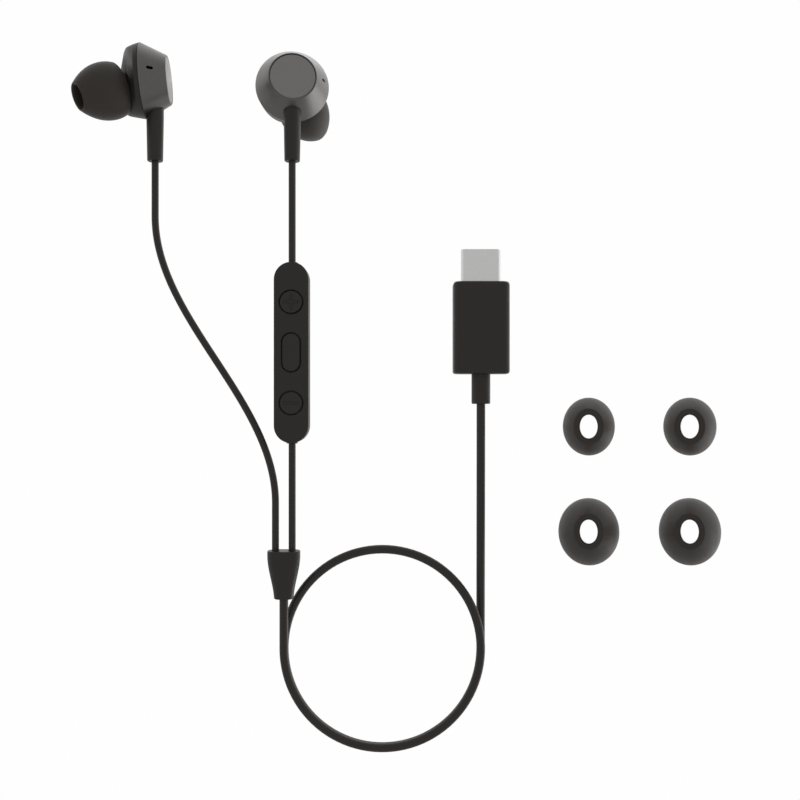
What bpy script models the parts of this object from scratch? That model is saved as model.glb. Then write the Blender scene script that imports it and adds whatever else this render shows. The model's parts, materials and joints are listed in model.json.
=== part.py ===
"""Wired in-ear earphones: a USB-C plug, a coiled cable, a splitter, an in-line remote, two earbuds and
four spare ear tips. The set hangs upright: +Z is up, -Y is the front, and Z = 0 is the bottom of the coil.

Lengths below are in millimetres. Every piece that moves hangs from an empty that stands on its joint."""

import math

import bmesh
import bpy
from mathutils import Matrix, Vector

MM = 0.001  # metres in a millimetre
GAP = 0.12  # clearance between pieces that touch on the real object

# Driving dimensions of the layout
HEIGHT = 144.9
PLUG_X = 17.65
LOOP_RADIUS = 20.1
LOOP_TALLER = 0.15  # the loop is this much more than its radius in its half height
LOOP_Z = 21.2
LOOP_X = PLUG_X - LOOP_RADIUS
SPLITTER_X = LOOP_X - LOOP_RADIUS
LEAD_SPACING = 3.4
RIGHT_X = SPLITTER_X + LEAD_SPACING / 2
LEFT_X = -48.8
BUD_Z = 137.0
PLUG_SHOULDER_Z = 95.9
REMOTE_Z = 81.5
SPLITTER_TOP_Z = 41.2
SPARE_TIP_X = (38.8, 58.95)
SPARE_TIP_Z = {"small": 66.6, "large": 45.65}
VIEWPOINT = Vector((1.15, -204.0, 71.9))  # the point in front of the set that the spare tips face
BOTTOM_CENTRE = Vector((1.95, 3.76, -1.04))  # of everything, which the finished set has at its origin

# Cables
CABLE_RADIUS = 0.96
LEAD_RADIUS = 0.78
CABLE_SIDES = 8
COIL_TURNS = 1.5
COIL_PITCH = 3.1
COIL_SPREAD = 0.0038  # the coil grows by this share for each millimetre that it goes back
COIL_STEPS_PER_TURN = 32
RISE_STEPS = 8  # rings along the cable from the coil up to the plug
LEAD_BEND_LOW_Z = 50.9
LEAD_BEND_HIGH_Z = 109.4
LEAD_BEND_REACH = 21.0
LEAD_BEND_STEPS = 12

# USB-C plug
SHELL_WIDTH = 8.25
SHELL_DEPTH = 2.4
SHELL_WALL = 0.3
SHELL_OUT = 6.65  # length that stands out of the overmold
SHELL_IN = 5.0
OVERMOLD_WIDTH = 11.4
OVERMOLD_DEPTH = 6.3
OVERMOLD_HEIGHT = 18.7
OVERMOLD_CORNER = 1.5
OVERMOLD_FLOOR = 1.2
PLUG_RELIEF_RADIUS = 1.8
PLUG_RELIEF_LENGTH = 6.1
PLUG_RELIEF_NECK = 1.45
CONTACTS_PER_ROW = 12
CONTACT_PITCH = 0.5
CONTACT_DEPTH = 0.45  # from the middle of the plug to each row
CONTACT_LOW, CONTACT_HIGH = -3.8, 2.6  # ends of each row, from the shoulder
TONGUE_SLOT = (6.75, 1.3)
PLUG_BOARD = (8.4, 0.8, 8.6)
PLUG_CHIP = (3.0, 0.8, 3.0)

# Splitter
SPLITTER_LENGTH = 9.8
SPLITTER_TOP = (6.65, 4.3)  # width, depth
SPLITTER_BOTTOM = (3.9, 3.4)

# Remote
REMOTE_WIDTH = 7.05
REMOTE_LENGTH = 36.8
REMOTE_DEPTH = 4.4
REMOTE_EDGE = 0.45
REMOTE_WALL = 0.8
REMOTE_SEAM_Y = 0.4
REMOTE_BOARD = (4.4, 0.6, 30.0)
BUTTON_RADIUS = 2.3
BUTTON_PITCH = 10.2
BUTTON_GROOVE = 0.25
BUTTON_FLANGE = 0.45  # beyond the edge of its hole
SWITCH_HEIGHT = 0.7
PLAY_WIDTH = 3.54
PLAY_LENGTH = 7.75

# Earbud, in the housing's own frame: across towards its vent side, up, and out through its end plate
RIM_RADIUS = 7.6
RIM_OUT = -2.3
CONE_END_RADIUS = 4.9
CONE_END_OUT = 2.85
PLATE_SEAT = 0.15  # the end plate's seat is this much narrower than the cone's end
PLATE_THICKNESS = 0.6
HOUSING_WALL = 0.7
HOUSING_TILT = 4.0  # degrees that the end plate looks up
HOUSING_SIDES = 28
FRONT_DEPTH = 3.8
FRONT_SLANT = 17.0  # degrees that the face the nozzle leaves turns towards the vent side
RELIEF_TOP_RADIUS = 1.75
RELIEF_END_RADIUS = 1.58
RELIEF_END = 16.45  # below the middle of the rim
RELIEF_TOP = 5.3
VENT_LENGTH = 1.25
VENT_WIDTH = 0.62
VENT_SHIFT = -0.35  # of the vent towards the rim, from halfway between the rim and the end plate
VENT_ANGLE = 5.5
BUD_YAW = {"left": 90.0 + 5.0, "right": 7.0}  # degrees that the end plate turns from the front towards +X
BUD_PITCH = {"left": 0.0, "right": 2.0}  # degrees that the whole bud leans back

# Nozzle and ear tip
NOZZLE_ROOT = Vector((0.0, -1.05, -5.4))
NOZZLE_YAW = 34.0
NOZZLE_PITCH = 17.5
NOZZLE_HALF_WIDTH = 1.68
NOZZLE_WALL = 0.42
NOZZLE_LENGTH = 9.0
OVAL = 0.7  # nozzle and tips are this much more than their half width in their half height
TIP_FRONT = 11.4  # from the nozzle's root
TIP_HALF_WIDTH = {"fitted": 5.05, "small": 5.35, "large": 6.3}
TIP_OPENING = 1.78
DOME_LENGTH = 6.4
DOME_ROUNDNESS = 2.0  # 1 is a cone, and more is rounder
TIP_LIP = {"fitted": 2.3, "small": 2.95, "large": 2.95}  # half width where the dome leaves the lip
TIP_SKIRT = 0.45  # thickness of the skirt
TIP_SIDES = 20

FINISHES = {  # colour, roughness, metallic
    "black_plastic": ((0.027, 0.024, 0.023), 0.45, 0.0),
    "satin_grey_metal": ((0.16, 0.155, 0.15), 0.32, 0.9),
    "silicone": ((0.040, 0.034, 0.031), 0.6, 0.0),
    "cable_jacket": ((0.022, 0.020, 0.019), 0.5, 0.0),
    "steel": ((0.60, 0.60, 0.60), 0.25, 1.0),
    "gold_contact": ((0.80, 0.58, 0.25), 0.3, 1.0),
    "circuit_board": ((0.02, 0.16, 0.07), 0.5, 0.0),
    "chip": ((0.015, 0.015, 0.017), 0.4, 0.0),
    "magnet": ((0.45, 0.46, 0.47), 0.3, 1.0),
    "copper": ((0.75, 0.32, 0.15), 0.35, 1.0),
    "film": ((0.30, 0.27, 0.22), 0.35, 0.0),
    "woven_steel": ((0.35, 0.35, 0.35), 0.4, 1.0),
}

X, Y, Z = Vector((1, 0, 0)), Vector((0, 1, 0)), Vector((0, 0, 1))


def clear_scene():
    for obj in list(bpy.data.objects):
        bpy.data.objects.remove(obj, do_unlink=True)


def link(obj, parent, location=(0, 0, 0)):
    bpy.context.scene.collection.objects.link(obj)
    obj.parent = parent
    obj.location = MM * Vector(location)
    return obj


def empty(name, location, parent=None):
    """A joint or a frame, at location in its parent's frame."""
    return link(bpy.data.objects.new(name, None), parent, location)


def finish(obj, kind):
    """Give obj a material of its own."""
    colour, roughness, metallic = FINISHES[kind]
    material = bpy.data.materials.new(f"{obj.name}_{kind}")
    material.use_nodes = True
    shader = material.node_tree.nodes["Principled BSDF"]
    shader.inputs["Base Color"].default_value = (*colour, 1)
    shader.inputs["Roughness"].default_value = roughness
    shader.inputs["Metallic"].default_value = metallic
    material.diffuse_color = (*colour, 1)
    obj.data.materials.append(material)


# Outlines, as (across, up) points that run counterclockwise


def oval(half_width, half_height, sides):
    turns = [2 * math.pi * (i + 0.5) / sides for i in range(sides)]
    return [(half_width * math.cos(a), half_height * math.sin(a)) for a in turns]


def circle(radius, sides):
    return oval(radius, radius, sides)


def rounded_box(width, height, corner, steps):
    points = []
    for quarter, (right, top) in enumerate(((1, 1), (-1, 1), (-1, -1), (1, -1))):
        for step in range(steps + 1):
            a = math.radians(90 * (quarter + step / steps))
            across = right * (width / 2 - corner) + corner * math.cos(a)
            points.append((across, top * (height / 2 - corner) + corner * math.sin(a)))
    return points


def stadium(length, width, steps):
    """A slot shape along the first axis, with steps + 1 points on each round end."""
    middle, radius, points = (length - width) / 2, width / 2, []
    for side, start in ((1, -90), (-1, 90)):
        for step in range(steps + 1):
            a = math.radians(start + 180 * step / steps)
            points.append((side * middle + radius * math.cos(a), radius * math.sin(a)))
    quarter = (steps + 1) // 2
    return points[quarter:] + points[:quarter]


def ring(outline, centre, across=X, up=Y):
    return [Vector(centre) + u * across + v * up for u, v in outline]


# Solids


def mesh_object(name, body, kind, parent, location=(0, 0, 0), smooth=True):
    bmesh.ops.recalc_face_normals(body, faces=body.faces)
    mesh = bpy.data.meshes.new(name)
    body.to_mesh(mesh)
    body.free()
    obj = link(bpy.data.objects.new(name, mesh), parent, location)
    finish(obj, kind)
    if smooth:
        mesh.shade_smooth()
        mesh.set_sharp_from_angle(angle=math.radians(35))
    return obj


def skin(name, rings, kind, parent, location=(0, 0, 0), around=False):
    """A solid through rings of equally many points, with its ends capped or, if around, joined."""
    body = bmesh.new()
    loops = [[body.verts.new(MM * point) for point in points] for points in rings]
    for near, far in zip(loops, loops[1:] + (loops[:1] if around else [])):
        for i, corner in enumerate(near):
            body.faces.new((near[i - 1], corner, far[i], far[i - 1]))
    if not around:
        body.faces.new(loops[0])
        body.faces.new(loops[-1])
    return mesh_object(name, body, kind, parent, location)


def turned(name, profile, kind, parent, sides, location=(0, 0, 0), around=False, axis=Z):
    """A solid of revolution through (radius, height) points, about Z or Y."""
    across, up = (X, Y) if axis is Z else (Z, X)
    rings = [ring(circle(radius, sides), height * axis, across, up) for radius, height in profile]
    return skin(name, rings, kind, parent, location, around)


def block(name, size, centre, kind, parent):
    """A box of size (x, y, z) about centre."""
    body = bmesh.new()
    placed = Matrix.LocRotScale(MM * Vector(centre), None, MM * Vector(size))
    bmesh.ops.create_cube(body, size=1, matrix=placed)
    return mesh_object(name, body, kind, parent, smooth=False)


def boolean(target, tool, operation):
    """Cut tool from target or join it on, and hide the tool."""
    tool.hide_render = True
    tool.display_type = "WIRE"
    modifier = target.modifiers.new(tool.name, "BOOLEAN")
    modifier.operation = operation
    modifier.object = tool
    modifier.solver = "EXACT"


def tube(name, path, radius, parent, origin):
    """A round cable along path, in the layout's frame, with domed ends centred on the ends of the path."""
    path = [Vector(point) - Vector(origin) for point in path]
    tangents = [(b - a).normalized() for a, b in zip(path[:1] + path[:-1], path[1:] + path[-1:])]
    across = tangents[0].orthogonal().normalized()
    rings = []
    for i, (centre, along) in enumerate(zip(path, tangents)):
        across = (across - across.dot(along) * along).normalized()
        up = along.cross(across)
        domes = (1, 0.5, 0) if i == 0 else (0, 0.5, 1) if i == len(path) - 1 else (0,)
        for dome in domes:
            angle = math.radians(65) * dome
            out = radius * math.sin(angle) * (-1 if i == 0 else 1)
            outline = circle(radius * math.cos(angle), CABLE_SIDES)
            rings.append(ring(outline, centre + out * along, across, up))
    return skin(name, rings, "cable_jacket", parent)


def bezier(start, start_handle, end_handle, end, steps):
    points = []
    for step in range(steps + 1):
        t = step / steps
        s = 1 - t
        points.append(s**3 * start + 3 * s * s * t * start_handle + 3 * s * t * t * end_handle + t**3 * end)
    return points


# USB-C plug: the body that everything hangs from


def contact_row(name, side, parent):
    """One row of sprung contacts on the carrier strip that holds them in line, as one comb."""
    half = (CONTACTS_PER_ROW - 1) * CONTACT_PITCH / 2
    finger, strip, thickness = 0.12, 0.8, 0.15
    comb = [(-half - finger, CONTACT_LOW), (half + finger, CONTACT_LOW)]
    for i in reversed(range(CONTACTS_PER_ROW)):
        middle = i * CONTACT_PITCH - half
        comb += [(middle + finger, CONTACT_HIGH), (middle - finger, CONTACT_HIGH)]
        if i:
            root = CONTACT_LOW + strip
            comb += [(middle - finger, root), (middle - CONTACT_PITCH + finger, root)]
    depths = [side * CONTACT_DEPTH, side * (CONTACT_DEPTH + thickness)]
    return skin(name, [ring(comb, depth * Y, X, Z) for depth in depths], "gold_contact", parent)


def usb_shell(parent):
    inner = (SHELL_WIDTH - 2 * SHELL_WALL, SHELL_DEPTH - 2 * SHELL_WALL)
    outside = stadium(SHELL_WIDTH, SHELL_DEPTH, 7)
    inside = stadium(*inner, 7)
    low, high = -SHELL_IN * Z, SHELL_OUT * Z
    rings = [ring(outside, low), ring(outside, high), ring(inside, high), ring(inside, low)]
    return skin("usb_c_shell", rings, "steel", parent, around=True)


def contact_housing(parent):
    """The plastic inside the shell: a slot for the socket's tongue, between the two rows of contacts."""
    lost = 2 * (SHELL_WALL + GAP)
    outside = stadium(SHELL_WIDTH - lost, SHELL_DEPTH - lost, 7)
    slot = stadium(*TONGUE_SLOT, 7)
    tip, floor = (SHELL_OUT - 0.6) * Z, (CONTACT_LOW - 0.4) * Z
    rings = [ring(slot, floor), ring(slot, tip), ring(outside, tip), ring(outside, -SHELL_IN * Z)]
    return skin("plug_contact_housing", rings, "black_plastic", parent)


def overmold(parent):
    """The grip round the shell, the circuit board and the top of the strain relief."""
    def box(inset, height):
        size = (OVERMOLD_WIDTH - 2 * inset, OVERMOLD_DEPTH - 2 * inset)
        return ring(rounded_box(*size, OVERMOLD_CORNER - inset / 2, 3), height * Z)

    def pocket(width, depth, height):
        return ring(stadium(width, depth, 7), height * Z)

    shell = (SHELL_WIDTH + 2 * GAP, SHELL_DEPTH + 2 * GAP)
    room = (OVERMOLD_WIDTH - 2.4, OVERMOLD_DEPTH - 2.2)
    floor = OVERMOLD_FLOOR - OVERMOLD_HEIGHT
    neck = circle(PLUG_RELIEF_NECK + GAP, 16)
    rings = [
        box(0.4, -OVERMOLD_HEIGHT),
        box(0, 0.4 - OVERMOLD_HEIGHT),
        box(0, -0.55),
        box(0.15, -0.2),
        box(0.55, 0),
        pocket(*shell, 0),
        pocket(*shell, -SHELL_IN - 0.3),
        pocket(*room, -SHELL_IN - 0.8),
        pocket(*room, floor),
        ring(neck, floor * Z),
        ring(neck, -OVERMOLD_HEIGHT * Z),
    ]
    return skin("plug_overmold", rings, "black_plastic", parent, around=True)


def plug(parent):
    overmold(parent)
    usb_shell(parent)
    contact_housing(parent)
    contact_row("plug_front_contacts", -1, parent)
    contact_row("plug_back_contacts", 1, parent)
    board_middle = (-SHELL_IN - 1.2 - PLUG_BOARD[2] / 2) * Z
    chip_front = (PLUG_BOARD[1] + PLUG_CHIP[1]) / 2 + GAP
    block("plug_circuit_board", PLUG_BOARD, board_middle, "circuit_board", parent)
    block("plug_audio_chip", PLUG_CHIP, board_middle - chip_front * Y, "chip", parent)
    plug_relief(parent)


def plug_relief(parent):
    """The sleeve round the cable, which a flange holds on the floor of the overmold, and the cable in it."""
    bottom, top = -OVERMOLD_HEIGHT, -OVERMOLD_HEIGHT + OVERMOLD_FLOOR
    bore, end = CABLE_RADIUS + GAP, bottom - PLUG_RELIEF_LENGTH
    flange = PLUG_RELIEF_NECK + 0.5
    profile = [
        (PLUG_RELIEF_RADIUS - 0.25, end),
        (PLUG_RELIEF_RADIUS, end + 0.35),
        (PLUG_RELIEF_RADIUS, bottom - GAP),
        (PLUG_RELIEF_NECK, bottom - GAP),
        (PLUG_RELIEF_NECK, top + GAP),
        (flange, top + GAP),
        (flange, top + 1.0),
        (bore, top + 1.0),
        (bore, end),
    ]
    turned("plug_strain_relief", profile, "black_plastic", parent, 16, around=True)
    profile = [(CABLE_RADIUS, end), (CABLE_RADIUS, top + 1.2)]
    turned("main_cable_end", profile, "cable_jacket", parent, CABLE_SIDES)


# Cables and splitter


def coil_point(x, z, back):
    """The point of the coil at x, z as seen from the front. Deeper turns are laid wider."""
    spread = 1 + COIL_SPREAD * back
    return Vector((x * spread, back, HEIGHT / 2 + (z - HEIGHT / 2) * spread))


def main_cable_path(plug_end, splitter_end):
    """Down from the splitter, one and a half turns to the right, each behind the last, and up to the plug."""
    path = [Vector((SPLITTER_X, 0, splitter_end))]
    steps = int(COIL_TURNS * COIL_STEPS_PER_TURN)
    for step in range(steps + 1):
        turns = step / COIL_STEPS_PER_TURN
        angle = math.pi * (1 + 2 * turns)
        x = LOOP_X + LOOP_RADIUS * math.cos(angle)
        z = LOOP_Z + (LOOP_RADIUS + LOOP_TALLER) * math.sin(angle)
        path.append(coil_point(x, z, COIL_PITCH * turns))
    for step in range(1, RISE_STEPS + 1):
        t = step / RISE_STEPS
        back = COIL_PITCH * COIL_TURNS * (1 - t * t * (3 - 2 * t))
        path.append(coil_point(PLUG_X, LOOP_Z + (plug_end - LOOP_Z) * t, back))
    path[-1].z = plug_end
    return path


def left_lead_path(low, high):
    """Up from the splitter, across to the left in one S bend, and up to the left bud."""
    start = Vector((SPLITTER_X - LEAD_SPACING / 2, 0, LEAD_BEND_LOW_Z))
    end = Vector((LEFT_X, 0, LEAD_BEND_HIGH_Z))
    reach = LEAD_BEND_REACH * Z
    bend = bezier(start, start + reach, end - reach, end, LEAD_BEND_STEPS)
    return [Vector((start.x, 0, low)), *bend, Vector((end.x, 0, high))]


def splitter(parent, location):
    sizes = (  # (distance below the top, share of the way from the top's size to the bottom's, inset)
        (0, 0, 0.3),
        (0.3, -0.02, 0),
        (1.1, 0, 0),
        (SPLITTER_LENGTH - 0.5, 0.95, 0),
        (SPLITTER_LENGTH, 1, 0.35),
    )
    rings = []
    for below, share, inset in sizes:
        both = zip(SPLITTER_TOP, SPLITTER_BOTTOM)
        width, depth = (top + (bottom - top) * share - 2 * inset for top, bottom in both)
        rings.append(ring(rounded_box(width, depth, 0.42 * depth, 3), -below * Z))
    skin("cable_splitter", rings, "black_plastic", parent, location)


# Remote, about its middle


def remote_ring(inset, depth):
    outline = stadium(REMOTE_LENGTH - 2 * inset, REMOTE_WIDTH - 2 * inset, 9)
    return ring(outline, depth * Y, Z, X)


def remote_half(name, side, parent):
    """A cover with a rounded outer edge, hollow towards the seam. side is -1 in front and 1 at the back."""
    face, seam = side * REMOTE_DEPTH / 2, REMOTE_SEAM_Y + side * GAP / 2
    rings = [
        remote_ring(REMOTE_EDGE, face),
        remote_ring(REMOTE_EDGE * 0.3, face - side * REMOTE_EDGE * 0.3),
        remote_ring(0, face - side * REMOTE_EDGE),
        remote_ring(0, seam),
        remote_ring(REMOTE_WALL, seam),
        remote_ring(REMOTE_WALL, face - side * REMOTE_WALL),
    ]
    return skin(name, rings, "black_plastic", parent)


def button_outline(length, width, steps):
    return stadium(length, width, steps) if length > width else circle(width / 2, 2 * (steps + 1))


def button(name, length, width, joint):
    """A key that stands in a hole of the front cover, with a flange behind the cover that keeps it in."""
    front, wall = -REMOTE_DEPTH / 2, -REMOTE_DEPTH / 2 + REMOTE_WALL
    stem = width / 2 - 0.5
    profile = (  # (inset from the key's edge, depth), from its face to the stem over the switch
        (0.35, front - 0.1),
        (0, front + 0.1),
        (0, wall + GAP),
        (-BUTTON_FLANGE, wall + GAP),
        (-BUTTON_FLANGE, wall + 0.4),
        (stem, wall + 0.4),
        (stem, wall + 0.6),
    )
    rings = [
        ring(button_outline(length - 2 * inset, width - 2 * inset, 7), depth * Y, Z, X)
        for inset, depth in profile
    ]
    return skin(name, rings, "black_plastic", joint)


def button_hole(name, length, width, centre, parent):
    grown = 2 * BUTTON_GROOVE
    outline = button_outline(length + grown, width + grown, 7)
    depths = (-REMOTE_DEPTH, -REMOTE_DEPTH / 2 + 2 * REMOTE_WALL)
    rings = [ring(outline, depth * Y, Z, X) for depth in depths]
    return skin(name, rings, "black_plastic", parent, centre * Z)


def remote(parent, middle):
    """The in-line remote. parent stands on the flex point below it, and middle is the way to its middle."""
    frame = empty("remote_frame", middle, parent)
    front = remote_half("remote_front_cover", -1, frame)
    remote_half("remote_back_cover", 1, frame)
    board = REMOTE_DEPTH / 2 - REMOTE_WALL - GAP - REMOTE_BOARD[1]  # its front, where the switches stand
    board_middle = (board + REMOTE_BOARD[1] / 2) * Y
    block("remote_circuit_board", REMOTE_BOARD, board_middle, "circuit_board", frame)
    keys = (
        ("volume_up", 2 * BUTTON_RADIUS, 2 * BUTTON_RADIUS, BUTTON_PITCH),
        ("play_pause", PLAY_LENGTH, PLAY_WIDTH, 0),
        ("volume_down", 2 * BUTTON_RADIUS, 2 * BUTTON_RADIUS, -BUTTON_PITCH),
    )
    for name, length, width, centre in keys:
        boolean(front, button_hole(f"{name}_hole", length, width, centre, frame), "DIFFERENCE")
        joint = empty(f"{name}_press", centre * Z, frame)
        button(f"{name}_button", length, width, joint)
        standing = Vector((0, board - GAP - SWITCH_HEIGHT / 2, centre))
        block(f"{name}_switch", (2.6, SWITCH_HEIGHT, 2.6), standing, "steel", frame)
    microphone_at = Vector((0, board - GAP - SWITCH_HEIGHT / 2, -BUTTON_PITCH / 2))
    block("remote_microphone", (2.0, SWITCH_HEIGHT, 2.8), microphone_at, "steel", frame)


# Earbuds. Points are (towards the vent side, up, out), and side is 1 on the right bud and -1 on the left.


def nozzle_axes(side):
    """(the way the nozzle points, its width axis, its height axis) in the housing's frame."""
    yaw, pitch = math.radians(NOZZLE_YAW), math.radians(NOZZLE_PITCH)
    level = Vector((side * math.sin(yaw), 0, -math.cos(yaw)))
    along = level * math.cos(pitch) - Y * math.sin(pitch)
    across = Vector((math.cos(yaw), 0, side * math.sin(yaw)))
    return along, across, across.cross(along)


def relief_notch(name, frame):
    """The cutter that lets the strain relief out through the bottom of the housing."""
    radius = RELIEF_TOP_RADIUS + GAP
    profile = [(radius, -RELIEF_TOP), (radius, -2 * RIM_RADIUS)]
    return turned(name, profile, "black_plastic", frame, 16, axis=Y)


def cone_cover(name, side, frame, notch):
    """The satin cover, from the rim to the end plate, with a notch for the strain relief and a vent slot."""
    seat, floor = CONE_END_RADIUS - PLATE_SEAT, CONE_END_OUT - PLATE_THICKNESS
    profile = [
        (RIM_RADIUS - 0.1, RIM_OUT),
        (RIM_RADIUS, RIM_OUT + 0.12),
        (CONE_END_RADIUS, CONE_END_OUT),
        (seat, CONE_END_OUT),
        (seat, floor),
        (seat - 0.5, floor),
        (RIM_RADIUS - HOUSING_WALL, RIM_OUT + 0.3),
        (RIM_RADIUS - HOUSING_WALL, RIM_OUT),
    ]
    cover = turned(name, profile, "satin_grey_metal", frame, HOUSING_SIDES, around=True)
    boolean(cover, notch, "DIFFERENCE")
    angle = math.radians(VENT_ANGLE)
    out = Vector((side * math.cos(angle), math.sin(angle), 0))
    outline = stadium(VENT_LENGTH, VENT_WIDTH, 5)
    middle = ((RIM_OUT + CONE_END_OUT) / 2 + VENT_SHIFT) * Z
    reaches = (CONE_END_RADIUS - 0.9, RIM_RADIUS + 1.4)
    rings = [ring(outline, out * reach + middle, Z, out.cross(Z)) for reach in reaches]
    boolean(cover, skin(f"{name}_vent", rings, "black_plastic", frame), "DIFFERENCE")


def front_shell(name, side, frame):
    """The dark shell behind the rim, with the nozzle. Its back leans towards the nozzle."""
    along, across, tall = nozzle_axes(side)

    def housing_ring(inset, out, share):
        """A ring this much inside the rim. share is the part of FRONT_SLANT that it leans by."""
        slant = math.radians(share * FRONT_SLANT)
        sideways = Vector((math.cos(slant), 0, side * math.sin(slant)))
        return ring(circle(RIM_RADIUS - inset, HOUSING_SIDES), out * Z, sideways)

    def nozzle_ring(half_width, at, tallness=OVAL):
        outline = oval(half_width, half_width + tallness, HOUSING_SIDES)
        return ring(outline, NOZZLE_ROOT + at * along, across, tall)

    bore = NOZZLE_HALF_WIDTH - NOZZLE_WALL
    recess, floor = bore + 0.2, NOZZLE_LENGTH - 0.6  # where the nozzle's mesh sits
    front, back = RIM_OUT - GAP, RIM_OUT - FRONT_DEPTH
    outside = [
        housing_ring(0.1, front, 0),
        housing_ring(0.45, back + 2.2, 0.3),
        housing_ring(0.85, back + 0.8, 0.85),
        housing_ring(1.3, back + 0.35, 1),
        housing_ring(2.6, back, 1),
        nozzle_ring(NOZZLE_HALF_WIDTH + 0.9, 0.35),
        nozzle_ring(NOZZLE_HALF_WIDTH, 1.0),
        nozzle_ring(NOZZLE_HALF_WIDTH, NOZZLE_LENGTH),
    ]
    inside = [
        nozzle_ring(recess, NOZZLE_LENGTH),
        nozzle_ring(recess, floor),
        nozzle_ring(bore, floor),
        nozzle_ring(bore, 0.3),
        housing_ring(2.0, back + 1.0, 1),
        housing_ring(1.3, back + 2.4, 0.3),
        housing_ring(0.8, front, 0),
    ]
    mesh = [nozzle_ring(recess - GAP, floor + GAP + thickness) for thickness in (0, 0.25)]
    skin(name.replace("front_shell", "nozzle_mesh"), mesh, "woven_steel", frame)
    return skin(name, outside + inside, "black_plastic", frame, around=True)


def driver(bud, frame):
    """The moving-coil speaker inside the housing, facing the nozzle, as rings about the housing's axis."""
    def hoop(inner, outer, low, high):
        return [(outer, low), (outer, high), (inner, high), (inner, low)]

    front, seat = -3.0, -2.2  # where the driver starts behind the nozzle, and where its yoke starts
    coil, gap_inner, gap_outer = 1.8, 1.5, 2.1  # radii of the coil and of the gap it moves in
    basket = hoop(3.6, 5.3, front, seat)[:3] + [(3.6, seat - 0.4), (4.9, seat - 0.4), (4.9, front)]
    film = [
        (0.3, front - 0.3),
        (1.3, front - 0.2),
        (1.7, front + 0.1),
        (4.7, front + 0.1),
        (4.7, front + 0.3),
        (1.6, front + 0.3),
        (1.2, front),
        (0.3, front - 0.1),
    ]
    cup = [(2.6, seat - 0.2), (2.6, -0.3), (2.5, -0.2), (1.2, -0.2), (1.2, -0.85), (gap_outer, -0.85)]
    pieces = (
        ("driver_frame", "black_plastic", basket, True),
        ("diaphragm", "film", film, False),
        ("voice_coil", "copper", hoop(coil - 0.1, coil + 0.1, seat - 0.4, -1.3), True),
        ("magnet", "magnet", [(gap_inner, seat - 0.1), (gap_inner, -1.0)], False),
        ("yoke", "steel", [*cup, (gap_outer, seat - 0.2)], True),
    )
    for name, kind, profile, around in pieces:
        turned(f"{bud}_{name}", profile, kind, frame, 16, around=around)


def ear_tip(name, size, frame):
    """A soft oval tip about its frame's Z, with its opening at Z = 0 and its skirt below."""
    radius = TIP_HALF_WIDTH[size]
    long = radius / TIP_HALF_WIDTH["fitted"]
    lip, dome = TIP_LIP[size], []
    for share in (0, 0.3, 0.6, 0.85, 1):
        rise = 1 - (1 - share) ** DOME_ROUNDNESS
        dome.append((lip + (radius - lip) * rise, (-0.35 - DOME_LENGTH * share) * long))
    end, sleeve = radius - 0.35, TIP_OPENING + 0.7
    profile = [
        (lip - 0.3, 0),
        *dome,
        (end, -8.8 * long),
        (end - TIP_SKIRT, -8.9 * long),
        (radius - TIP_SKIRT, -6.8 * long),
        (radius * 0.72, -3.4 * long),
        (sleeve, -2.6 * long),
        (sleeve, -7.2),
        (TIP_OPENING, -7.2),
        (TIP_OPENING, -0.3),
    ]
    rings = [ring(oval(r, r + OVAL, TIP_SIDES), height * Z) for r, height in profile]
    skin(name, rings, "silicone", frame, around=True)


def strain_relief(bud, frame):
    bore = LEAD_RADIUS + GAP
    profile = [
        (RELIEF_TOP_RADIUS, -RELIEF_TOP - GAP),
        (RELIEF_TOP_RADIUS, -RIM_RADIUS),
        (RELIEF_END_RADIUS, 0.3 - RELIEF_END),
        (RELIEF_END_RADIUS - 0.25, -RELIEF_END),
        (bore, -RELIEF_END),
        (bore, -RELIEF_TOP - GAP),
    ]
    turned(f"{bud}_strain_relief", profile, "black_plastic", frame, 16, around=True, axis=Y)
    lead = [(LEAD_RADIUS, -RELIEF_END), (LEAD_RADIUS, 0.7 - RELIEF_TOP)]
    turned(f"{bud}_lead_end", lead, "cable_jacket", frame, CABLE_SIDES, axis=Y)


def end_plate(name, frame):
    """The plate in the cone's end, with a slightly domed face."""
    seat = CONE_END_RADIUS - PLATE_SEAT - GAP
    profile = [
        (seat, CONE_END_OUT - PLATE_THICKNESS + GAP),
        (seat, CONE_END_OUT - 0.05),
        (seat - 0.2, CONE_END_OUT + 0.1),
        (seat / 2, CONE_END_OUT + 0.28),
        (0.4, CONE_END_OUT + 0.32),
    ]
    turned(name, profile, "satin_grey_metal", frame, HOUSING_SIDES)


def earbud(hand, pivot, up):
    """One earbud and its fitted tip. pivot stands on the flex point under the strain relief."""
    side = 1 if hand == "right" else -1
    bud = f"{hand}_bud"
    lean = math.radians(BUD_PITCH[hand])
    stance = empty(f"{bud}_stance", (0, 0, 0), pivot)
    stance.rotation_euler = (-lean, 0, 0)
    upright = empty(f"{bud}_upright", up, stance)
    upright.rotation_euler = (math.radians(90), 0, math.radians(BUD_YAW[hand]))
    housing = empty(f"{bud}_housing", (0, 0, 0), upright)
    housing.rotation_euler = (-math.radians(HOUSING_TILT), 0, 0)
    strain_relief(bud, upright)
    notch = relief_notch(f"{bud}_relief_notch", upright)
    cone_cover(f"{bud}_cone_cover", side, housing, notch)
    end_plate(f"{bud}_end_plate", housing)
    boolean(front_shell(f"{bud}_front_shell", side, housing), notch, "DIFFERENCE")
    driver(bud, housing)
    along, across, _ = nozzle_axes(side)
    slide = empty(f"{hand}_tip_pull", NOZZLE_ROOT + TIP_FRONT * along, housing)
    slide.rotation_euler = Matrix((across, along.cross(across), along)).transposed().to_euler()
    ear_tip(f"{hand}_ear_tip", "fitted", slide)


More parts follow.
